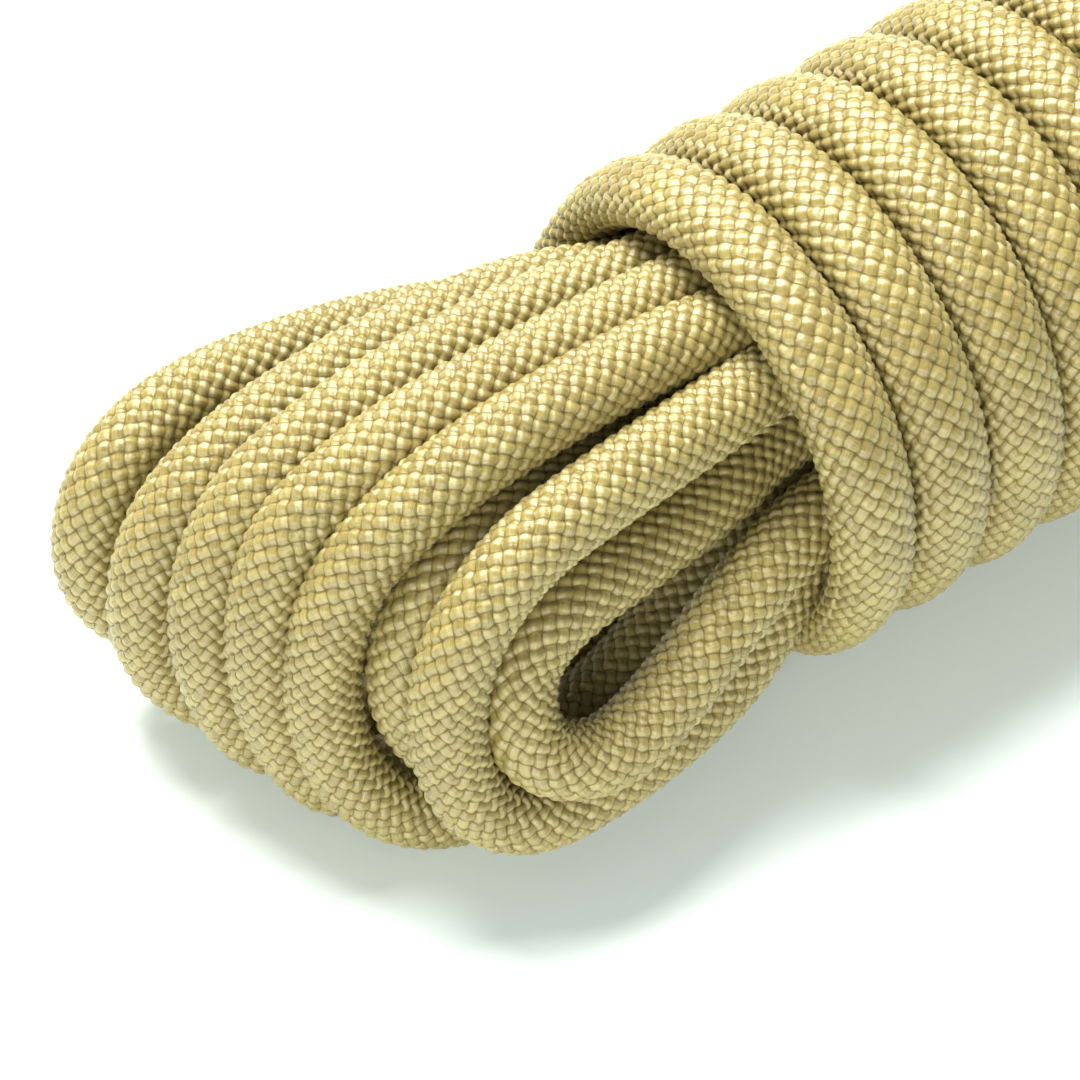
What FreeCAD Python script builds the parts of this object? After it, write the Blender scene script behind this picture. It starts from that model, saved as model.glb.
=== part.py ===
# A small retail hank of 4 mm braided kernmantle cord, in millimetres, +Z up.
# +X runs along the hank, away from the front bights.  The origin is the middle
# of the flat on which the wrapped middle rests.
import FreeCAD, Part
import math
import os
import Sketcher

V = FreeCAD.Vector
doc = FreeCAD.newDocument("cord_hank")

# ---- driving dimensions ------------------------------------------------------

DIMENSIONS = {
    "cord_dia": 4.0,            # the braided cord, unloaded
    "sheath_bore": 3.04,        # inside the braided sheath
    "core_dia": 0.96,           # one of the seven core yarns
    "core_ring": 1.0,           # the six outer core yarns lie on this radius
    "wrap_turns": 25,           # turns of cord wound round the skein
    "wrap_pitch": 4.8,          # a turn's width: the tight cord is pressed flat
    "wrap_radius": 13.8,        # outside of the turns
    "mouth_radius": 10.2,       # inside of the turns, where the skein comes out
    "rest_sag": 0.2,            # how far the underside is pressed flat
    "mouth_round": 1.7,         # rounding of the first and last turn
    "front_length": 29.0,       # front bights, from the mouth to the longest tip
    "front_left": 16.5,         # how far they fan out to +Y
    "front_right": 12.5,        # and to -Y
    "front_height": 24.5,       # top of the front bights
    "front_slant": 6.0,         # the right-hand bights are this much shorter
    "back_length": 25.0,        # back bights, from the mouth to the tips
    "back_left": 10.5,
    "back_right": 6.0,
    "back_height": 24.0,
    "bend_flat": 2.0,           # straight part of the tips between their roundings
    "eye_near": 9.0,            # from the back mouth to the open eye of the back bights
    "eye_far": 17.2,            # and to its other end
    "eye_bottom": 10.1,
    "eye_top": 15.5,
    "eye_round": 2.0,
    "cut_through": 60.0,        # depth of a pad or cut that passes the whole hank
    "tip_length": 3.2,          # a heat-sealed end
    "tip_swell": 0.12,          # how much the melted end stands proud
}

sheet = doc.addObject("Spreadsheet::Sheet", "Sheet")
for row, (alias, value) in enumerate(DIMENSIONS.items(), start=1):
    sheet.set(f"A{row}", alias)
    sheet.set(f"B{row}", str(value))
    sheet.setAlias(f"B{row}", alias)
doc.recompute()


def size(alias):
    """A driving dimension, read back from the sheet."""
    return float(sheet.get(alias))


def cell(alias):
    return f"Sheet.{alias}"


CORD = size("cord_dia")
MOUTH = size("wrap_turns") * size("wrap_pitch") / 2
CENTRE = size("wrap_radius") - size("rest_sag")
HALF_WRAP = "Sheet.wrap_turns * Sheet.wrap_pitch / 2"
CENTRE_HEIGHT = "(Sheet.wrap_radius - Sheet.rest_sag)"

# ---- helpers -----------------------------------------------------------------

H_AXIS, V_AXIS = -1, -2     # a sketch's own axes, in its constraints


def new_body(label):
    body = doc.addObject("PartDesign::Body", label)
    body.Label = label
    return body


def new_sketch(body, plane):
    """An empty sketch on one of the body's own origin planes."""
    sketch = body.newObject("Sketcher::SketchObject", body.Name + "_sketch")
    origin_plane = next(f for f in body.Origin.OriginFeatures if f.Role == plane)
    sketch.AttachmentSupport = [(origin_plane, "")]
    sketch.MapMode = "FlatFace"
    return sketch


def polygon(sketch, corners):
    """Closed outline of straight edges; its points stay where they are put."""
    first = sketch.GeometryCount
    count = len(corners)
    for i, corner in enumerate(corners):
        after = corners[(i + 1) % count]
        line = Part.LineSegment(V(corner[0], corner[1], 0), V(after[0], after[1], 0))
        sketch.addGeometry(line, False)
    for i in range(count):
        joined = first + (i + 1) % count
        sketch.addConstraint(Sketcher.Constraint("Coincident", first + i, 2, joined, 1))
    return first


def place_point(sketch, edge, end, x_words, y_words):
    """Hold one end of an edge at a place worked out from the sheet."""
    point = sketch.getPoint(edge, end)
    for kind, value, words, axis in (("DistanceX", point.x, x_words, V_AXIS),
                                     ("DistanceY", point.y, y_words, H_AXIS)):
        if words == "0":
            sketch.addConstraint(Sketcher.Constraint("PointOnObject", edge, end, axis))
        else:
            index = sketch.addConstraint(Sketcher.Constraint(kind, -1, 1, edge, end, value))
            sketch.setExpression(f"Constraints[{index}]", words)


def outline(sketch, corners):
    """Polygon whose corners are (x words, y words) expressions of the sheet."""
    values = [(evaluate(x), evaluate(y)) for x, y in corners]
    first = polygon(sketch, values)
    for i, (x_words, y_words) in enumerate(corners):
        place_point(sketch, first + i, 1, x_words, y_words)


def evaluate(words):
    """The value of an expression of sheet aliases, by FreeCAD's own evaluator."""
    result = sheet.evalExpression(words)
    return float(getattr(result, "Value", result))


def edges_at(feature, test):
    """Names of the feature's edges whose middle point passes the test."""
    found = []
    for i, edge in enumerate(feature.Shape.Edges, start=1):
        middle = edge.valueAt((edge.FirstParameter + edge.LastParameter) / 2)
        if test(edge, middle):
            found.append(f"Edge{i}")
    return found


# ---- the wrapped middle ------------------------------------------------------


def wrapped_middle():
    """The skein inside its turns, as one closed solid of their outer shape."""
    body = new_body("wrapped_middle")
    circle_sketch = new_sketch(body, "YZ_Plane")
    circle_sketch.addGeometry(Part.Circle(V(0, CENTRE, 0), V(0, 0, 1), size("wrap_radius")), False)
    radius = circle_sketch.addConstraint(Sketcher.Constraint("Radius", 0, size("wrap_radius")))
    circle_sketch.setExpression(f"Constraints[{radius}]", cell("wrap_radius"))
    circle_sketch.addConstraint(Sketcher.Constraint("PointOnObject", 0, 3, -2))
    height = circle_sketch.addConstraint(Sketcher.Constraint("DistanceY", -1, 1, 0, 3, CENTRE))
    circle_sketch.setExpression(f"Constraints[{height}]", CENTRE_HEIGHT)
    pad = body.newObject("PartDesign::Pad", "wrap_pad")
    pad.Profile = circle_sketch
    pad.Midplane = True
    pad.setExpression("Length", "Sheet.wrap_turns * Sheet.wrap_pitch")
    doc.recompute()

    rounded = body.newObject("PartDesign::Fillet", "mouth_rounding")
    rims = edges_at(pad, lambda edge, middle: edge.Closed)
    rounded.Base = (pad, rims)
    rounded.setExpression("Radius", cell("mouth_round"))
    doc.recompute()

    flat_sketch = new_sketch(body, "YZ_Plane")
    side = "Sheet.wrap_radius"
    outline(flat_sketch, [(side, "0"), ("-" + side, "0"), ("-" + side, "-" + side), (side, "-" + side)])
    flat = body.newObject("PartDesign::Pocket", "resting_flat")
    flat.Profile = flat_sketch
    flat.Midplane = True
    flat.setExpression("Length", "Sheet.wrap_turns * Sheet.wrap_pitch * 2")
    doc.recompute()
    assert flat.Shape.Volume < rounded.Shape.Volume, "the resting flat cut nothing"
    return body


# ---- the bights at both ends -------------------------------------------------


def bights(label, side_corners, plan_corners, bend_words):
    """Outer shape of a fan of bights: a side view padded, then cut to a plan view."""
    body = new_body(label)
    side_sketch = new_sketch(body, "XZ_Plane")
    outline(side_sketch, side_corners)
    pad = body.newObject("PartDesign::Pad", label + "_side")
    pad.Profile = side_sketch
    pad.Midplane = True
    pad.setExpression("Length", cell("cut_through"))
    doc.recompute()

    plan_sketch = new_sketch(body, "XY_Plane")
    outline(plan_sketch, plan_corners)
    plan = body.newObject("PartDesign::Pocket", label + "_plan")
    reach = cell("cut_through")
    near = "{sign}(" + HALF_WRAP + " - Sheet.wrap_radius)"
    far = "{sign}(" + HALF_WRAP + " + Sheet.cut_through)"
    tip_x = max(pad.Shape.Vertexes, key=lambda vertex: abs(vertex.X)).X
    sign = "-" if tip_x < 0 else ""
    frame = [(near, reach), (far, reach), (far, "-" + reach), (near, "-" + reach)]
    outline(plan_sketch, [(x.format(sign=sign), y) for x, y in frame])
    plan.Profile = plan_sketch
    plan.Midplane = True
    plan.setExpression("Length", cell("cut_through"))
    doc.recompute()
    assert plan.Shape.Volume < pad.Shape.Volume, label + ": the plan cut nothing"

    rounded = body.newObject("PartDesign::Fillet", label + "_bend")
    bends = edges_at(plan, lambda edge, middle: is_bend(edge, tip_x))
    assert len(bends) == 2, label + ": the tips should have two bends"
    rounded.Base = (plan, bends)
    rounded.setExpression("Radius", bend_words)
    doc.recompute()
    return body


def is_bend(edge, tip_x):
    """A level edge above or below the face at the bights' tips."""
    start, end = edge.Vertexes[0].Point, edge.Vertexes[-1].Point
    reaches_tip = min(abs(start.x - tip_x), abs(end.x - tip_x)) < 0.01
    return reaches_tip and abs(end.y - start.y) > CORD * 3


def is_eye_corner(edge, middle):
    """A long edge across the hank at one corner of the back bights' eye."""
    start, end = edge.Vertexes[0].Point, edge.Vertexes[-1].Point
    at_side = min(abs(middle.x - MOUTH - size(side)) for side in ("eye_near", "eye_far")) < 0.01
    at_level = min(abs(middle.z - size(side)) for side in ("eye_bottom", "eye_top")) < 0.01
    return at_side and at_level and abs(end.y - start.y) > CORD


def front_bights():
    tip = f"-({HALF_WRAP} + Sheet.front_length)"
    short_tip = f"-({HALF_WRAP} + Sheet.front_length - Sheet.front_slant)"
    mouth = f"-{HALF_WRAP}"
    fan = f"-({HALF_WRAP} + Sheet.front_length / 2)"
    spread = f"-({HALF_WRAP} + Sheet.cord_dia * 1.5)"
    side = [(mouth, f"{CENTRE_HEIGHT} + Sheet.mouth_radius"),
            (tip, "Sheet.front_height"),
            (tip, "0"),
            (spread, "0"),
            (mouth, f"{CENTRE_HEIGHT} - Sheet.mouth_radius")]
    plan = [(mouth, "Sheet.mouth_radius"),
            (fan, "Sheet.front_left"),
            (tip, "Sheet.front_left - Sheet.cord_dia"),
            (short_tip, "-(Sheet.front_right - Sheet.cord_dia)"),
            (fan, "-Sheet.front_right"),
            (mouth, "-Sheet.mouth_radius")]
    return bights("front_bights", side, plan, "(Sheet.front_height - Sheet.bend_flat) / 2")


def back_bights():
    tip = f"{HALF_WRAP} + Sheet.back_length"
    mouth = HALF_WRAP
    fan = f"{HALF_WRAP} + Sheet.back_length / 2"
    spread = f"{HALF_WRAP} + Sheet.cord_dia * 1.5"
    side = [(mouth, f"{CENTRE_HEIGHT} + Sheet.mouth_radius"),
            (tip, "Sheet.back_height"),
            (tip, "0"),
            (spread, "0"),
            (mouth, f"{CENTRE_HEIGHT} - Sheet.mouth_radius")]
    plan = [(mouth, "Sheet.mouth_radius"),
            (fan, "Sheet.back_left"),
            (tip, "Sheet.back_left - Sheet.cord_dia / 2"),
            (tip, "-(Sheet.back_right - Sheet.cord_dia / 2)"),
            (fan, "-Sheet.back_right"),
            (mouth, "-(Sheet.back_right - Sheet.cord_dia / 2)")]
    body = bights("back_bights", side, plan, "(Sheet.back_height - Sheet.bend_flat) / 2")

    eye_sketch = new_sketch(body, "XZ_Plane")
    near, far = f"{HALF_WRAP} + Sheet.eye_near", f"{HALF_WRAP} + Sheet.eye_far"
    outline(eye_sketch, [(near, cell("eye_top")), (far, cell("eye_top")),
                         (far, cell("eye_bottom")), (near, cell("eye_bottom"))])
    before = body.Tip.Shape.Volume
    eye = body.newObject("PartDesign::Pocket", "open_eye")
    eye.Profile = eye_sketch
    eye.Midplane = True
    eye.setExpression("Length", cell("cut_through"))
    doc.recompute()
    assert eye.Shape.Volume < before, "the open eye cut nothing"

    rounded = body.newObject("PartDesign::Fillet", "eye_rounding")
    corners = edges_at(eye, is_eye_corner)
    assert len(corners) == 4, "the eye should have four corners"
    rounded.Base = (eye, corners)
    rounded.setExpression("Radius", cell("eye_round"))
    doc.recompute()
    return body


# ---- the two free ends -------------------------------------------------------

# Each route starts on the back mouth, in millimetres from it along +X, and its
# points are the corners between straight runs; tangent arcs round the corners.
STANDING_ROUTE = [
    (0.0, -7.8, 9.2), (9.5, -7.8, 9.2), (17.5, -9.6, 6.0), (26.0, -10.8, 3.2), (34.0, -11.5, 2.4)]
WORKING_ROUTE = [
    (0.0, -10.6, 13.0), (8.8, -10.6, 13.0), (14.0, -6.2, 12.8), (14.1, 2.2, 12.7), (14.4, 10.5, 12.4),
    (16.5, 17.4, 10.2), (21.4, 21.8, 6.6), (28.4, 23.2, 3.2), (35.0, 23.3, 2.4)]
ARC_SHARE = 0.45            # of the shorter run beside a corner, taken by its arc


def route_points(route):
    return [V(MOUTH + x, y, z) for x, y, z in route]


def corner_arc(before, corner, after):
    """Arc that rounds a corner, with its two tangent points and its radius."""
    into = before.sub(corner)
    out = after.sub(corner)
    reach = ARC_SHARE * min(into.Length, out.Length)
    turn = math.pi - into.getAngle(out)
    radius = reach / math.tan(turn / 2)
    into.normalize()
    out.normalize()
    start = corner.add(into.multiply(reach))
    end = corner.add(out.multiply(reach))
    bisector = start.add(end).multiply(0.5).sub(corner)
    to_centre = math.hypot(reach, radius)
    middle = corner.add(bisector.normalize().multiply(to_centre - radius))
    return Part.Arc(start, middle, end), start, end, radius


def path_wire(points):
    """Straight runs joined by tangent arcs, with the arcs' radii."""
    edges, radii = [], []
    last = points[0]
    for before, corner, after in zip(points, points[1:], points[2:]):
        arc, start, end, radius = corner_arc(before, corner, after)
        edges.append(Part.LineSegment(last, start).toShape())
        edges.append(arc.toShape())
        radii.append(radius)
        last = end
    edges.append(Part.LineSegment(last, points[-1]).toShape())
    return Part.Wire(edges), radii


def swept_round(name, spine, start, direction, diameter_words, across=0.0, along_angle=0.0):
    """A round section swept along the spine, off its axis by `across`."""
    section = doc.addObject("Part::Circle", name + "_section")
    section.setExpression("Radius", diameter_words + " / 2")
    turn = FreeCAD.Rotation(V(0, 0, 1), direction)
    offset = V(across * math.cos(along_angle), across * math.sin(along_angle), 0)
    section.Placement = FreeCAD.Placement(start.add(turn.multVec(offset)), turn)
    sweep = doc.addObject("Part::Sweep", name)
    sweep.Sections = [section]
    sweep.Spine = (spine, [f"Edge{i + 1}" for i in range(len(spine.Shape.Edges))])
    sweep.Solid = True
    sweep.Frenet = False
    return sweep


def sealed_tip(label, place, direction):
    """Melted end of the cord: it swells a little and closes in a blunt dome."""
    body = new_body(label)
    sketch = new_sketch(body, "XZ_Plane")
    rim = CORD / 2
    swell = rim + size("tip_swell")
    length = size("tip_length")
    start, shoulder, end = V(0, rim, 0), V(length - swell, swell, 0), V(length, 0, 0)
    dome_middle = V(length - swell * (1 - math.sqrt(0.5)), swell * math.sqrt(0.5), 0)
    sketch.addGeometry(Part.LineSegment(V(0, 0, 0), end), False)
    sketch.addGeometry(Part.Arc(end, dome_middle, shoulder), False)
    sketch.addGeometry(Part.LineSegment(shoulder, start), False)
    sketch.addGeometry(Part.LineSegment(start, V(0, 0, 0)), False)
    for edge in range(4):
        sketch.addConstraint(Sketcher.Constraint("Coincident", edge, 2, (edge + 1) % 4, 1))
    sketch.addConstraint(Sketcher.Constraint("Coincident", 0, 1, -1, 1))
    sketch.addConstraint(Sketcher.Constraint("PointOnObject", 1, 3, H_AXIS))
    place_point(sketch, 0, 2, "Sheet.tip_length", "0")
    place_point(sketch, 2, 1, "Sheet.tip_length - Sheet.cord_dia / 2 - Sheet.tip_swell",
                "Sheet.cord_dia / 2 + Sheet.tip_swell")
    place_point(sketch, 3, 1, "0", "Sheet.cord_dia / 2")
    turned = body.newObject("PartDesign::Revolution", label + "_turned")
    turned.Profile = sketch
    turned.ReferenceAxis = (sketch, ["H_Axis"])
    turned.Angle = 360
    body.Placement = FreeCAD.Placement(place, FreeCAD.Rotation(V(1, 0, 0), direction))
    return body


def free_end(name, route):
    """Sheath, seven core yarns and sealed tip of one free end of the cord."""
    points = route_points(route)
    wire, radii = path_wire(points)
    print(name, "arc radii, mm:", [round(radius, 1) for radius in radii])
    spine = doc.addObject("Part::Feature", name + "_path")
    spine.Shape = wire
    start = points[0]
    direction = points[1].sub(points[0]).normalize()
    end_direction = points[-1].sub(points[-2]).normalize()

    outside = swept_round(name + "_outside", spine, start, direction, cell("cord_dia"))
    bore = swept_round(name + "_bore", spine, start, direction, cell("sheath_bore"))
    sheath = doc.addObject("Part::Cut", name + "_sheath")
    sheath.Base = outside
    sheath.Tool = bore
    sheath.Label = name + "_sheath"
    pieces = [sheath]
    for i in range(7):
        label = f"{name}_core_yarn_{i + 1}"
        across = size("core_ring") if i else 0.0
        yarn = swept_round(label, spine, start, direction, cell("core_dia"), across, i * math.pi / 3)
        yarn.Label = label
        pieces.append(yarn)
    pieces.append(sealed_tip(name + "_sealed_tip", points[-1], end_direction))
    doc.recompute()

    full = math.pi * (CORD / 2) ** 2 * wire.Length
    print(name, "length, mm:", round(wire.Length, 1), "volume ratio:", round(outside.Shape.Volume / full, 4))
    return pieces


# ---- build, check and write --------------------------------------------------

sub_parts = [wrapped_middle(), front_bights(), back_bights()]
sub_parts += free_end("standing_end", STANDING_ROUTE)
sub_parts += free_end("working_end", WORKING_ROUTE)
doc.recompute()

failed = [o.Name for o in doc.Objects if "Invalid" in o.State or "Error" in o.State]
if failed:
    raise RuntimeError("these objects failed: " + ", ".join(failed))

os.makedirs("parts", exist_ok=True)
for part in sub_parts:
    if part.Shape.isNull() or not part.Shape.isValid():
        raise RuntimeError(part.Label + " has no valid shape")
    part.Shape.exportStep(os.path.join("parts", part.Label + ".step"))
    box = part.Shape.BoundBox
    print(f"{part.Label:28s} {len(part.Shape.Solids)} solid  {part.Shape.Volume:10.1f} mm3"
          f"  x {box.XMin:6.1f} {box.XMax:6.1f}  y {box.YMin:6.1f} {box.YMax:6.1f}"
          f"  z {box.ZMin:5.2f} {box.ZMax:5.2f}")
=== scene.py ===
import math

import bpy
import numpy as np
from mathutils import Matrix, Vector


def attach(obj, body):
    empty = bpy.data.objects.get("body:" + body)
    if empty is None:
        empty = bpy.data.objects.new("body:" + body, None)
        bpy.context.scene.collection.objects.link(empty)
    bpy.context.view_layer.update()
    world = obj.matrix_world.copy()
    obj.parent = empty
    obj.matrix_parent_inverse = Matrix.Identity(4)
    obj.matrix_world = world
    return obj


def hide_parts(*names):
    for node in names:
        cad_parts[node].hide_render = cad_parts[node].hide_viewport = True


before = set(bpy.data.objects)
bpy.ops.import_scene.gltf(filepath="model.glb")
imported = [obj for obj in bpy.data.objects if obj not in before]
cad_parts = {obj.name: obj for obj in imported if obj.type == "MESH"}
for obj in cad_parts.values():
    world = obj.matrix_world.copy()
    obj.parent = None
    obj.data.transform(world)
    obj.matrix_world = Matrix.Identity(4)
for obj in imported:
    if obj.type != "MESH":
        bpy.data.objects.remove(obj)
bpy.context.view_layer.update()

# ---- sizes, in metres ---------------------------------------------------------

CORD = 0.004                    # diameter of the cord
TURNS = 25                      # turns of the wrap
PITCH = 0.0048                  # from one turn to the next
MOUTH = TURNS * PITCH / 2       # the wrap reaches from -MOUTH to +MOUTH
AXIS_Z = 0.0136                 # height of the wrap's axis
TURN_RADIUS = 0.01208           # of the turns' centreline
TURN_START = 34.0               # angle where a turn of the wrap starts, in degrees from +Y towards +Z
LAST_TURN = 96.0                # how many degrees the last turn goes round
SAME_POINT = 1e-7               # points of the route closer than this are one point

# ---- camera -------------------------------------------------------------------

AZIMUTH, ELEVATION = math.radians(53.8), math.radians(52.14)
LOOK = Vector((math.cos(ELEVATION) * math.cos(AZIMUTH),
               math.cos(ELEVATION) * math.sin(AZIMUTH),
               -math.sin(ELEVATION)))
camera_data = bpy.data.cameras.new("camera")
camera_data.lens = 116.7
camera_data.sensor_width = 36.0
camera_data.clip_start = 0.01
camera_data.clip_end = 10.0
camera = bpy.data.objects.new("camera", camera_data)
camera.location = (-0.1329, -0.0870, 0.1502)
camera.rotation_mode = "QUATERNION"
camera.rotation_quaternion = LOOK.to_track_quat("-Z", "Y")
bpy.context.scene.collection.objects.link(camera)
bpy.context.scene.camera = camera

# ---- the cord's route ---------------------------------------------------------

# Around the front mouth the route is written in cord diameters: x from the mouth
# into the wrap, y and z as in the row frame.  A slot is a strand's place in the
# wrap's section: its angle from +Y towards +Z, and its distance from the axis.
FRONT_UPPER = {1: (4, 2.09), 2: (29, 2.09), 3: (53, 2.09), 4: (76, 2.09),
               5: (98, 2.09), 6: (95, 0.95), 7: (121, 2.09), 8: (155, 1.15)}
FRONT_LOWER = {1: (335, 2.09), 2: (310, 2.09), 3: (285, 2.09), 4: (260, 2.09),
               5: (236, 2.09), 6: (215, 0.95), 7: (205, 2.09), 8: (176, 2.09)}
BACK_UPPER = {1: (8, 2.09), 2: (36, 2.09), 3: (64, 2.09), 4: (90, 2.09),
              5: (116, 2.09), 6: (20, 0.95), 7: (90, 0.95), 8: (143, 2.09)}
BACK_LOWER = {1: (324, 2.09), 2: (296, 2.09), 3: (270, 2.09), 4: (244, 2.09),
              5: (320, 0.95), 6: (270, 0.95), 7: (200, 0.95), 8: (209, 2.24)}
LAST_FRONT, LAST_BACK = (300, 0.8), (346, 2.09)

FRONT_BIGHTS = {
    1: [(-0.9, 2.6, 3.9), (-2.2, 3.1, 4.1), (-3.7, 3.5, 4.15), (-5.3, 3.75, 4.05),
        (-6.4, 3.6, 3.65), (-6.95, 3.4, 2.6), (-6.75, 3.15, 1.5), (-5.8, 2.9, 0.8),
        (-4.2, 2.6, 0.6), (-2.4, 2.3, 0.9), (-1.0, 2.0, 1.6)],
    2: [(-0.9, 2.1, 4.8), (-2.4, 2.3, 4.85), (-3.8, 2.35, 4.8), (-5.1, 2.4, 4.55),
        (-6.2, 2.4, 3.95), (-6.8, 2.25, 2.8), (-6.75, 2.15, 1.5), (-6.15, 1.75, 0.6),
        (-5.0, 1.55, 0.45), (-3.3, 1.4, 0.55), (-1.3, 1.3, 1.2)],
    3: [(-0.9, 1.4, 5.2), (-1.9, 1.45, 5.3), (-3.1, 1.5, 5.25), (-4.6, 1.5, 5.1),
        (-5.7, 1.55, 4.55), (-6.45, 1.35, 3.3), (-6.5, 1.0, 1.8), (-6.0, 0.75, 0.6),
        (-4.9, 0.55, 0.45), (-3.1, 0.4, 0.5), (-1.3, 0.3, 1.1)],
    4: [(-0.8, 0.5, 5.55), (-2.3, 0.5, 5.65), (-3.6, 0.6, 5.55), (-4.7, 0.65, 5.25),
        (-5.6, 0.75, 4.6), (-6.15, 0.5, 3.3), (-6.2, 0.15, 1.9), (-5.75, -0.15, 0.6),
        (-4.8, -0.45, 0.45), (-3.2, -0.6, 0.5), (-1.3, -0.7, 1.1)],
    5: [(-0.8, -0.3, 5.75), (-2.8, -0.35, 5.85), (-4.2, -0.25, 5.45), (-5.3, -0.1, 4.5),
        (-5.85, -0.25, 3.1), (-5.85, -0.65, 1.6), (-5.2, -1.1, 0.55), (-4.1, -1.5, 0.4),
        (-2.6, -1.65, 0.6), (-1.2, -1.7, 1.2)],
    6: [(-0.8, -0.58, 4.5), (-2.0, -0.62, 4.62), (-3.5, -0.65, 4.62), (-4.55, -0.72, 4.2),
        (-5.05, -0.88, 3.15), (-4.85, -1.1, 2.0), (-4.2, -1.5, 1.4), (-3.0, -1.7, 1.4),
        (-1.2, -1.4, 1.9)],
    7: [(-0.8, -1.25, 5.3), (-2.4, -1.4, 5.35), (-3.7, -1.45, 5.15), (-4.7, -1.6, 4.3),
        (-5.05, -1.8, 3.1), (-4.95, -2.1, 1.9), (-4.3, -2.5, 1.3), (-3.1, -2.6, 1.4),
        (-1.8, -2.5, 1.5), (-0.8, -2.35, 1.85)],
    8: [(-0.6, -1.35, 3.9), (-2.2, -1.55, 3.95), (-3.4, -1.65, 3.9), (-4.1, -1.85, 3.4),
        (-4.2, -2.4, 2.5), (-3.4, -2.8, 2.2), (-2.4, -2.75, 2.6), (-1.3, -2.5, 3.2)],
}

# A back bight joins an upper strand to the next lower one: its plane's y, its
# reach past the back mouth, and the heights of its upper and lower strand.
BACK_BIGHTS = {8: (-1.0, 4.75, 4.25, 1.85), 7: (0.05, 4.8, 4.3, 1.8), 6: (1.1, 4.7, 4.3, 1.75),
               5: (-0.95, 5.6, 5.4, 0.5), 4: (0.1, 5.75, 5.45, 0.5), 3: (1.15, 5.7, 5.4, 0.5),
               2: (2.15, 5.5, 5.2, 0.55), 1: (2.1, 4.6, 4.15, 1.75)}

# The two free ends, in millimetres: x from the back mouth, y and z as in the row frame.
STANDING_END = [
    (0.0, -7.8, 9.2), (9.5, -7.8, 9.2), (17.5, -9.6, 6.0), (26.0, -10.8, 3.2), (34.0, -11.5, 2.4)]
WORKING_END = [
    (0.0, -10.6, 13.0), (8.8, -10.6, 13.0), (14.0, -6.2, 12.8), (14.1, 2.2, 12.7), (14.4, 10.5, 12.4),
    (16.5, 17.4, 10.2), (21.4, 21.8, 6.6), (28.4, 23.2, 3.2), (35.0, 23.3, 2.4)]


def from_front(x, y, z):
    """A point of the row frame from sizes in diameters, x from the front mouth."""
    return (-MOUTH + x * CORD, y * CORD, z * CORD)


def from_back(x, y, z):
    """The same with x from the back mouth."""
    return (MOUTH + x * CORD, y * CORD, z * CORD)


def in_slot(x, place):
    """A point of the row frame: x in diameters from the front mouth, and a slot."""
    angle, radius = math.radians(place[0]), place[1] * CORD
    return (-MOUTH + x * CORD, radius * math.cos(angle), AXIS_Z + radius * math.sin(angle))


def strand(front, back):
    """Points through the wrap from the front to the back; it changes slot on the way."""
    turn = (back[0] - front[0] + 180) % 360 - 180
    points = []
    for x in (0.3, 1.6, 3.2, 7.0, 11.0, 15.0, 19.0, 23.0, 26.8, 28.4, 29.7):
        share = min(max((x - 7.0) / 16.0, 0.0), 1.0)
        place = (front[0] + turn * share, front[1] + (back[1] - front[1]) * share)
        points.append(in_slot(x, place))
    return points


def back_bight(y, reach, top, bottom):
    """Points round a back bight from its upper strand to its lower one."""
    middle, half = (top + bottom) / 2, (top - bottom) / 2
    return [from_back(1.3, y * 0.9, middle + half * 0.92), from_back(2.6, y, top),
            from_back(reach - half * 0.9, y, top), from_back(reach, y, middle + half * 0.55),
            from_back(reach, y, middle - half * 0.55), from_back(reach - half * 0.9, y, bottom),
            from_back(2.6, y, bottom), from_back(1.3, y * 0.9, middle - half * 0.92)]


def turn_x(angle):
    """How far along the wrap a turn is, in metres from the front mouth."""
    turn, rest = divmod(angle - TURN_START, 360.0)
    middle = PITCH * (turn + 0.5)
    lean = 0.1 * CORD
    if rest < 180.0:
        return middle + lean * (1 - rest / 90.0)
    return middle - lean + (PITCH + 2 * lean) * (rest / 180.0 - 1)


def cord_route():
    """Control points of the whole cord, and at each how far it is a pressed turn."""
    route = []
    for x, y, z in reversed(STANDING_END):
        route.append((MOUTH + x / 1000, y / 1000, z / 1000))
    for k in range(8, 0, -1):
        lower = strand(FRONT_LOWER[k], BACK_LOWER[k])
        if k == 8:
            lower = lower[:-1]      # the standing end comes in here
        route += reversed(lower)
        route += [from_front(*p) for p in reversed(FRONT_BIGHTS[k])]
        route += strand(FRONT_UPPER[k], BACK_UPPER[k])
        route += back_bight(*BACK_BIGHTS[k])

    # the last strand comes to the front, leaves the mouth and starts the wrap
    route += reversed(strand(LAST_FRONT, LAST_BACK)[1:])
    route += [in_slot(0.4, (296, 1.1)), in_slot(-0.7, (290, 1.5)), in_slot(-1.35, (291, 2.35))]
    route += [in_slot(-1.1, (307, 3.0)), in_slot(-0.55, (328, 3.02)), in_slot(-0.1, (350, 3.02)),
              in_slot(0.4, (372, 3.02))]
    pressed = [0.0] * (len(route) - 3) + [0.4, 0.7, 0.9]

    per_turn = 18
    reach = TURN_RADIUS / (0.75 + 0.25 * math.cos(2 * math.pi / per_turn))
    first = TURN_START + 360.0
    last = first + 360.0 * (TURNS - 1) + LAST_TURN
    for i in range(int((last - first) * per_turn / 360.0) + 1):
        angle = first + i * 360.0 / per_turn
        around = math.radians(angle)
        route.append((-MOUTH + turn_x(angle - 360.0),
                      reach * math.cos(around),
                      AXIS_Z + reach * math.sin(around)))
        pressed.append(1.0)

    route += [in_slot(29.3, (148, 3.0)), in_slot(29.5, (163, 2.9)), in_slot(30.1, (177, 2.7))]
    pressed += [0.7, 0.35, 0.1]
    for x, y, z in WORKING_END[1:]:
        route.append((MOUTH + x / 1000, y / 1000, z / 1000))
        pressed.append(0.0)
    return route, pressed


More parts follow.
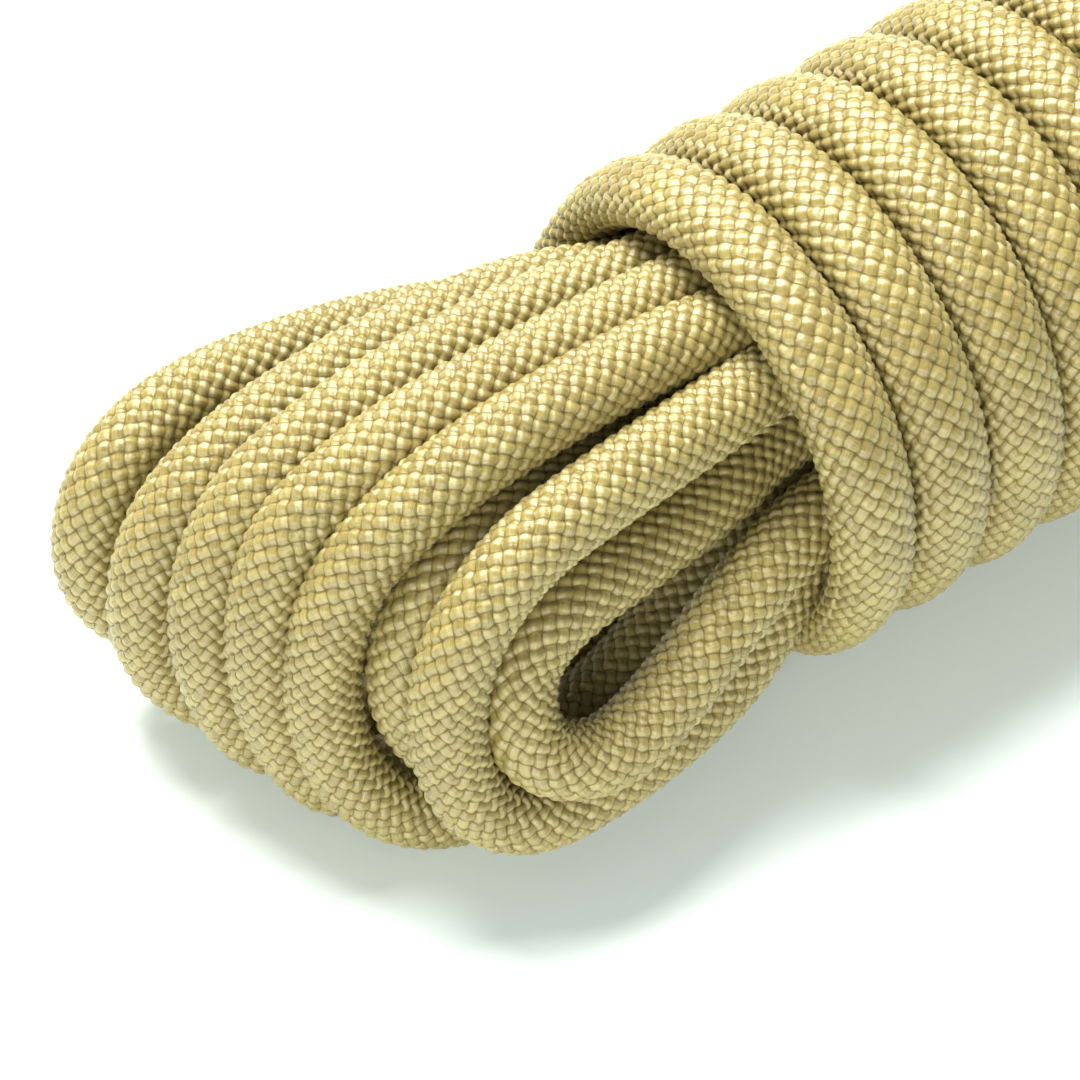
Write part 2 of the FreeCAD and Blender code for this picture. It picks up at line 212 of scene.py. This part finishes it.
def nurbs_line(points, resolution):
    """Points read along the NURBS spline that has these control points."""
    data = bpy.data.curves.new("route", "CURVE")
    data.dimensions = "3D"
    spline = data.splines.new("NURBS")
    spline.points.add(len(points) - 1)
    for point, place in zip(spline.points, points):
        point.co = (*place, 1.0)
    spline.order_u = 3
    spline.use_endpoint_u = True
    spline.resolution_u = resolution
    holder = bpy.data.objects.new("route", data)
    bpy.context.scene.collection.objects.link(holder)
    bpy.context.view_layer.update()
    mesh = bpy.data.meshes.new_from_object(holder)
    line = np.array([v.co[:] for v in mesh.vertices])
    bpy.data.objects.remove(holder)
    bpy.data.meshes.remove(mesh)
    return line


control, pressed = cord_route()
line = nurbs_line(control, resolution=16)
at_control = np.linspace(0.0, len(control) - 2.0, len(line)) + 0.5
pressed_line = np.interp(at_control, np.arange(len(control)), pressed)

steps = np.linalg.norm(np.diff(line, axis=0), axis=1)
keep = np.concatenate([[True], steps > SAME_POINT])
line, pressed_line = line[keep], pressed_line[keep]
along = np.concatenate([[0.0], np.cumsum(np.linalg.norm(np.diff(line, axis=0), axis=1))])
print("cord length along the route, m:", round(float(along[-1]), 3), "points", len(line))

# ---- frames that don't twist along the cord -----------------------------------


def carried_frames(points):
    """Tangent, and a normal carried along without twist, at every point."""
    tangents = np.gradient(points, axis=0)
    tangents /= np.linalg.norm(tangents, axis=1)[:, None]
    normals = np.zeros_like(points)
    normal = np.cross(tangents[0], (0.0, 0.0, 1.0))
    normal /= np.linalg.norm(normal)
    normals[0] = normal
    for i in range(1, len(points)):
        step = points[i] - points[i - 1]
        length = step @ step
        mirrored = normals[i - 1] - step * (2.0 / length * (step @ normals[i - 1]))
        turned = tangents[i - 1] - step * (2.0 / length * (step @ tangents[i - 1]))
        gap = tangents[i] - turned
        size = gap @ gap
        if size > 1e-18:
            mirrored = mirrored - gap * (2.0 / size * (gap @ mirrored))
        normals[i] = mirrored / np.linalg.norm(mirrored)
    return tangents, normals


tangent_line, normal_line = carried_frames(line)


def at(s, values):
    """Values of the line, read at distances s along it."""
    return np.stack([np.interp(s, along, values[:, i]) for i in range(3)], axis=1)


# ---- the braided surface ------------------------------------------------------

CARRIERS = 12                   # strands that run one way round; as many run the other way
STITCH = 0.00087                # from one float to the next in the same column
TIGHT_STITCH = 0.00098          # the same where the wrap stretches the cord
BASE = 0.00167                  # radius of the braid's middle
FLOAT = 0.00015                 # thickness of a strand
WEAVE = 0.00020                 # how far a strand rises and dips
LONGER = 0.10                   # a float is this much longer at each end, and narrower, in stitches
STEP = 2 * math.pi / CARRIERS    # angle from one strand to the next
FLAT_WIDTH = 1.17               # a pressed turn's width over a free cord's
FLAT_THICKNESS = 0.86           # the same for its thickness, away from the wrap's axis
AT_EDGE = 0.49                  # a face this far off a strand's middle, in widths, is on its edge
FRONT_DETAIL, BACK_DETAIL = 5, 3    # faces across a strand, near the front and further back
FRONT_REACH = 9.2               # how far the front detail goes past the mouth, in diameters
HIDDEN_RADIUS = 2.7             # cord closer to the axis than this is under the turns, in diameters
HIDDEN_DEPTH = 0.9              # and this far inside each mouth it can't be seen, in diameters
PLAIN_SIDES = 20                # faces round a hidden stretch
PLAIN_ROW = 0.0008              # and their length, in metres
PLAIN_STITCHES = 1.4            # stitches of the UVs to such a row

stitch_line = STITCH + (TIGHT_STITCH - STITCH) * pressed_line
stitches = np.concatenate([[0.0], np.cumsum(np.diff(along) / stitch_line[:-1])])


def strand_profile(across):
    """Height of a strand over its own width; across is in strand widths."""
    off = np.abs(across - np.round(across)) * 2.0
    return 1.0 - off ** 2.6


def braid_heights(turns_a, turns_b):
    """Heights of the two families of strands, one over and one under, at the same places."""
    one_way = WEAVE * np.cos(math.pi * (np.round(turns_a) + turns_b)) + FLOAT * strand_profile(turns_a)
    other_way = FLOAT * strand_profile(turns_b) - WEAVE * np.cos(math.pi * (turns_a + np.round(turns_b)))
    return one_way, other_way


def place_rows(s, angles, radii, shifts=0.0):
    """Points of the surface: s per row; angles, radii and shifts along the cord per point."""
    centre, tangent, normal = at(s, line), at(s, tangent_line), at(s, normal_line)
    tangent /= np.linalg.norm(tangent, axis=1)[:, None]
    normal -= tangent * (normal * tangent).sum(1)[:, None]
    normal /= np.linalg.norm(normal, axis=1)[:, None]
    binormal = np.cross(tangent, normal)
    out = centre - np.array([0.0, 0.0, AXIS_Z])
    out[:, 0] = 0.0
    out -= tangent * (out * tangent).sum(1)[:, None]
    out /= np.maximum(np.linalg.norm(out, axis=1), 1e-9)[:, None]
    side = np.cross(tangent, out)
    weight = np.interp(s, along, pressed_line)
    offset = (radii * np.cos(angles))[:, :, None] * normal[:, None, :]
    offset = offset + (radii * np.sin(angles))[:, :, None] * binormal[:, None, :]
    across = (offset * out[:, None, :]).sum(2)[:, :, None] * out[:, None, :]
    wide = (offset * side[:, None, :]).sum(2)[:, :, None] * side[:, None, :]
    offset = offset + across * (weight * (FLAT_THICKNESS - 1))[:, None, None]
    offset = offset + wide * (weight * (FLAT_WIDTH - 1))[:, None, None]
    points = centre[:, None, :] + offset + tangent[:, None, :] * np.asarray(shifts)[..., None]
    points[:, :, 2] = np.maximum(points[:, :, 2], 0.0)
    return points


def braided_stretch(start, end, detail):
    """Vertices, quads and corner UVs of the braid along part of the cord."""
    first, last = np.interp((start, end), along, stitches)
    rows = np.arange(math.ceil(first * 2 * detail), math.floor(last * 2 * detail) + 1)
    row_s = np.interp(rows / (2.0 * detail), stitches, along)
    count = CARRIERS * detail
    columns = np.arange(count)
    odd = rows % 2
    q = odd[:, None] + 2 * columns[None, :]
    angles = q * (STEP / (2 * detail))
    a = (q - rows[:, None]) / (2.0 * detail)
    b = (q + rows[:, None]) / (2.0 * detail)
    radii = BASE + np.maximum(*braid_heights(a, b))
    points = place_rows(row_s, angles, radii, LONGER * STITCH * np.sin(math.pi * q / detail))

    r = np.arange(len(rows) - 2)
    shift = odd[r][:, None]
    here = r[:, None] * count + columns[None, :]
    right = (r[:, None] + 1) * count + (columns[None, :] + shift) % count
    left = (r[:, None] + 1) * count + (columns[None, :] + shift - 1) % count
    above = (r[:, None] + 2) * count + columns[None, :]
    quads = np.stack([here, right, above, left], axis=2).reshape(-1, 4)

    qr, rr = q[r], rows[r][:, None]
    corner_a = np.stack([qr - rr, qr - rr, qr - rr - 2, qr - rr - 2], axis=2) / (2.0 * detail)
    corner_b = np.stack([qr + rr, qr + rr + 2, qr + rr + 2, qr + rr], axis=2) / (2.0 * detail)
    middle_a, middle_b = corner_a.mean(2), corner_b.mean(2)
    one_way, other_way = braid_heights(middle_a, middle_b)
    edge_a = np.abs(middle_a - np.round(middle_a)) > AT_EDGE
    edge_b = np.abs(middle_b - np.round(middle_b)) > AT_EDGE
    family = np.where(edge_a == edge_b, one_way >= other_way, edge_a)[:, :, None]
    across = np.where(family, corner_a, corner_b)
    onward = np.where(family, corner_b, corner_a)
    uvs = np.stack([across, onward], axis=3).reshape(-1, 2)
    return points.reshape(-1, 3), quads, uvs


def plain_stretch(start, end):
    """The same for a stretch that the wrap hides: a plain tube of the braid's size."""
    count = PLAIN_SIDES
    rows = max(4, int((end - start) / PLAIN_ROW))
    s = np.linspace(start, end, rows)
    angles = np.tile(np.arange(count) * (2 * math.pi / count), (rows, 1))
    points = place_rows(s, angles, np.full_like(angles, CORD / 2))
    r, c = np.meshgrid(np.arange(rows - 1), np.arange(count), indexing="ij")
    nxt = (c + 1) % count
    here, ahead = r * count, (r + 1) * count
    quads = np.stack([here + c, here + nxt, ahead + nxt, ahead + c], axis=2).reshape(-1, 4)
    u = np.stack([c, c + 1, c + 1, c], axis=2).reshape(-1) * (CARRIERS / count)
    v = np.stack([r, r, r + 1, r + 1], axis=2).reshape(-1) * PLAIN_STITCHES
    return points.reshape(-1, 3), quads, np.stack([u, v], axis=1)


def stretches():
    """Start, end and detail of each stretch of the cord; detail 0 is hidden in the wrap."""
    x = (line[:, 0] + MOUTH) / CORD
    radius = np.hypot(line[:, 1], line[:, 2] - AXIS_Z) / CORD
    inside = (radius < HIDDEN_RADIUS) & (x > HIDDEN_DEPTH) & (x < 2 * MOUTH / CORD - HIDDEN_DEPTH)
    level = np.where(inside, 0, np.where(x < FRONT_REACH, FRONT_DETAIL, BACK_DETAIL))
    cuts = [0] + [i for i in range(1, len(level)) if level[i] != level[i - 1]] + [len(level) - 1]
    for first, last in zip(cuts, cuts[1:]):
        # neighbouring stretches overlap by a stitch
        yield max(along[first] - STITCH, 0.0), min(along[last] + STITCH, along[-1]), int(level[first])


vertices, quads, uvs = [], [], []
used = 0
for start, end, detail in stretches():
    made = braided_stretch(start, end, detail) if detail else plain_stretch(start, end)
    vertices.append(made[0])
    quads.append(made[1] + used)
    uvs.append(made[2])
    used += len(made[0])
vertices, quads, uvs = np.concatenate(vertices), np.concatenate(quads), np.concatenate(uvs)
print("cord surface:", len(vertices), "vertices,", len(quads), "quads")

mesh = bpy.data.meshes.new("braided_cord")
mesh.vertices.add(len(vertices))
mesh.vertices.foreach_set("co", vertices.astype(np.float32).reshape(-1))
mesh.loops.add(len(quads) * 4)
mesh.loops.foreach_set("vertex_index", quads.astype(np.int32).reshape(-1))
mesh.polygons.add(len(quads))
mesh.polygons.foreach_set("loop_start", np.arange(0, len(quads) * 4, 4, dtype=np.int32))
mesh.update(calc_edges=True)
mesh.polygons.foreach_set("use_smooth", np.ones(len(quads), dtype=bool))
mesh.uv_layers.new(name="strands").data.foreach_set("uv", uvs.astype(np.float32).reshape(-1))
mesh.validate()
cord = bpy.data.objects.new("braided_cord", mesh)
bpy.context.scene.collection.objects.link(cord)
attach(cord, "root")
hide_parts("wrapped_middle", "front_bights", "back_bights",
            "standing_end_sheath", "working_end_sheath")

# ---- materials ----------------------------------------------------------------


def new_material(name):
    material = bpy.data.materials.new(name)
    material.use_nodes = True
    nodes, links = material.node_tree.nodes, material.node_tree.links
    return material, nodes, links, nodes["Principled BSDF"]


def math_node(nodes, links, operation, *values):
    """Output of a Math node whose inputs are numbers or sockets."""
    node = nodes.new("ShaderNodeMath")
    node.operation = operation
    for socket, value in zip(node.inputs, values):
        if isinstance(value, bpy.types.NodeSocket):
            links.new(value, socket)
        else:
            socket.default_value = value
    return node.outputs[0]


def map_range(nodes, links, value, before, after):
    """Output of a Map Range node; before and after are the two ranges' ends."""
    node = nodes.new("ShaderNodeMapRange")
    node.inputs["From Min"].default_value, node.inputs["From Max"].default_value = before
    node.inputs["To Min"].default_value, node.inputs["To Max"].default_value = after
    links.new(value, node.inputs["Value"])
    return node.outputs["Result"]


def colour_ramp(nodes, links, value, *stops):
    """Output of a ramp between two stops, each a position and a colour."""
    node = nodes.new("ShaderNodeValToRGB")
    for element, (position, colour) in zip(node.color_ramp.elements, stops):
        element.position = position
        element.color = colour
    links.new(value, node.inputs["Fac"])
    return node.outputs["Color"]


def add_bump(nodes, links, shader, height, strength, distance):
    node = nodes.new("ShaderNodeBump")
    node.inputs["Strength"].default_value = strength
    node.inputs["Distance"].default_value = distance
    links.new(height, node.inputs["Height"])
    links.new(node.outputs["Normal"], shader.inputs["Normal"])


def cord_material():
    """Satin nylon yarn: fine filaments along each strand, with painted shade in the gaps between them.
    """
    material, nodes, links, shader = new_material("cord_sheath")
    uv = nodes.new("ShaderNodeUVMap")
    uv.uv_map = "strands"
    split = nodes.new("ShaderNodeSeparateXYZ")
    links.new(uv.outputs["UV"], split.inputs["Vector"])
    across, onward = split.outputs["X"], split.outputs["Y"]

    # one number per strand, for its own shade
    strand_index = math_node(nodes, links, "ROUND", across)
    shade = nodes.new("ShaderNodeTexWhiteNoise")
    shade.noise_dimensions = "1D"
    links.new(strand_index, shade.inputs["W"])

    # distance from the strand's middle line, 0 to 1/2
    off = math_node(nodes, links, "SUBTRACT", across, strand_index)
    off_middle = math_node(nodes, links, "ABSOLUTE", off)

    # distance along the float from its middle, 0 to 1/2
    float_index = math_node(nodes, links, "ROUND", onward)
    on = math_node(nodes, links, "SUBTRACT", onward, float_index)
    along_float = math_node(nodes, links, "ABSOLUTE", on)

    # filaments: noise drawn out along the strand
    stretch = nodes.new("ShaderNodeVectorMath")
    stretch.operation = "MULTIPLY"
    stretch.inputs[1].default_value = (16.0, 1.1, 1.0)
    links.new(uv.outputs["UV"], stretch.inputs[0])
    filaments = nodes.new("ShaderNodeTexNoise")
    filaments.noise_dimensions = "2D"
    filaments.inputs["Scale"].default_value = 1.0
    filaments.inputs["Detail"].default_value = 3.0
    filaments.inputs["Roughness"].default_value = 0.6
    links.new(stretch.outputs[0], filaments.inputs["Vector"])
    fibre = filaments.outputs["Fac"]

    # a strand's own shade moves its tone by up to half of shade_range either way
    shade_range = 0.22
    shaded = math_node(nodes, links, "MULTIPLY_ADD", shade.outputs["Value"], shade_range, fibre)
    centred = math_node(nodes, links, "SUBTRACT", shaded, shade_range / 2)
    tone = colour_ramp(nodes, links, centred,
                       (0.25, (0.165, 0.123, 0.033, 1)), (0.75, (0.34, 0.28, 0.092, 1)))

    # where the strands' edges press together, painted shade darkens them, most at the corners
    corner = map_range(nodes, links, along_float, (0.2, 0.5), (0.38, 0.95))
    edge_shade_mask = map_range(nodes, links, off_middle, (0.34, 0.48), (0.0, 1.0))
    painted_gap_shade = nodes.new("ShaderNodeMix")
    painted_gap_shade.data_type = "RGBA"
    # dark brown of the painted shade in the gaps and pits
    painted_gap_shade.inputs["B"].default_value = (0.070, 0.046, 0.010, 1)
    links.new(math_node(nodes, links, "MULTIPLY", corner, edge_shade_mask), painted_gap_shade.inputs["Factor"])
    links.new(tone, painted_gap_shade.inputs["A"])
    links.new(painted_gap_shade.outputs["Result"], shader.inputs["Base Color"])

    # the shine spreads across the filaments and fades at the strands' edges
    rough = map_range(nodes, links, fibre, (0.0, 1.0), (0.28, 0.46))
    links.new(rough, shader.inputs["Roughness"])
    shine = map_range(nodes, links, off_middle, (0.36, 0.48), (1.0, 0.1))
    links.new(shine, shader.inputs["Specular IOR Level"])
    shader.inputs["Specular Tint"].default_value = (1.0, 0.95, 0.80, 1)
    shader.inputs["Anisotropic"].default_value = 0.88
    grain = nodes.new("ShaderNodeTangent")
    grain.direction_type = "UV_MAP"
    grain.uv_map = "strands"
    links.new(grain.outputs["Tangent"], shader.inputs["Tangent"])

    shader.inputs["Sheen Weight"].default_value = 0.06
    shader.inputs["Sheen Roughness"].default_value = 0.4
    shader.inputs["Sheen Tint"].default_value = (1.0, 0.95, 0.78, 1)
    add_bump(nodes, links, shader, fibre, strength=0.365, distance=0.00006)
    return material


def melted_material():
    """Nylon that was melted shut: glossy, uneven and scorched darker."""
    material, nodes, links, shader = new_material("sealed_tip")
    place = nodes.new("ShaderNodeTexCoord")
    blotch = nodes.new("ShaderNodeTexNoise")
    blotch.inputs["Scale"].default_value = 700.0
    blotch.inputs["Detail"].default_value = 4.0
    links.new(place.outputs["Object"], blotch.inputs["Vector"])
    scorch = blotch.outputs["Fac"]
    tone = colour_ramp(nodes, links, scorch,
                       (0.3, (0.035, 0.022, 0.010, 1)), (0.7, (0.26, 0.19, 0.075, 1)))
    links.new(tone, shader.inputs["Base Color"])
    rough = map_range(nodes, links, scorch, (0.0, 1.0), (0.18, 0.5))
    links.new(rough, shader.inputs["Roughness"])
    add_bump(nodes, links, shader, scorch, strength=0.8, distance=0.0003)
    return material


def yarn_material():
    """Undyed core yarn: off-white filaments with a slow twist."""
    material, nodes, links, shader = new_material("core_yarn")
    place = nodes.new("ShaderNodeTexCoord")
    wave = nodes.new("ShaderNodeTexWave")
    wave.bands_direction = "DIAGONAL"
    wave.inputs["Scale"].default_value = 900.0
    wave.inputs["Distortion"].default_value = 2.0
    links.new(place.outputs["Object"], wave.inputs["Vector"])
    twist = wave.outputs["Fac"]
    tone = colour_ramp(nodes, links, twist,
                       (0.0, (0.62, 0.60, 0.54, 1)), (1.0, (0.85, 0.83, 0.78, 1)))
    links.new(tone, shader.inputs["Base Color"])
    shader.inputs["Roughness"].default_value = 0.7
    add_bump(nodes, links, shader, twist, strength=1.0, distance=0.0001)
    return material


mesh.materials.append(cord_material())
melted, yarn = melted_material(), yarn_material()
for name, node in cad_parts.items():
    if "sealed_tip" in name:
        node.data.materials.clear()
        node.data.materials.append(melted)
    elif "core_yarn" in name:
        node.data.materials.clear()
        node.data.materials.append(yarn)

# ---- floor and light ----------------------------------------------------------

FLOOR_HALF = 3.0                # half the floor's width
FLOOR_GAP = 0.00002             # the floor lies this much under the cord, so that they share no plane

floor_mesh = bpy.data.meshes.new("floor")
corners = [(-1, -1), (1, -1), (1, 1), (-1, 1)]
floor_mesh.from_pydata([(FLOOR_HALF * x, FLOOR_HALF * y, 0) for x, y in corners], [], [(0, 1, 2, 3)])
floor = bpy.data.objects.new("floor", floor_mesh)
floor.location.z = -FLOOR_GAP
bpy.context.scene.collection.objects.link(floor)
floor_material, _, _, floor_shader = new_material("floor")
floor_shader.inputs["Base Color"].default_value = (0.81, 0.90, 0.88, 1)
floor_shader.inputs["Roughness"].default_value = 0.9
floor_shader.inputs["Specular IOR Level"].default_value = 0.1
floor_mesh.materials.append(floor_material)


def area_light(name, place, target, size, power, colour):
    """A round lamp at place that points at target."""
    data = bpy.data.lights.new(name, "AREA")
    data.shape = "DISK"
    data.size = size
    data.energy = power
    data.color = colour
    light = bpy.data.objects.new(name, data)
    light.location = place
    light.rotation_mode = "QUATERNION"
    light.rotation_quaternion = (Vector(target) - Vector(place)).to_track_quat("-Z", "Y")
    bpy.context.scene.collection.objects.link(light)


area_light("key", (0.03, 0.29, 0.54), (-0.04, 0.0, 0.01), 0.46, 12.8, (1.0, 0.985, 0.95))
area_light("fill", (-0.46, -0.38, 0.22), (-0.05, 0.0, 0.01), 0.4, 3.6, (1.0, 1.0, 0.98))

world = bpy.data.worlds.new("world")
world.use_nodes = True
world.node_tree.nodes["Background"].inputs["Color"].default_value = (0.96, 1.0, 0.98, 1)
world.node_tree.nodes["Background"].inputs["Strength"].default_value = 0.36
bpy.context.scene.world = world
bpy.context.scene.view_settings.view_transform = "Standard"
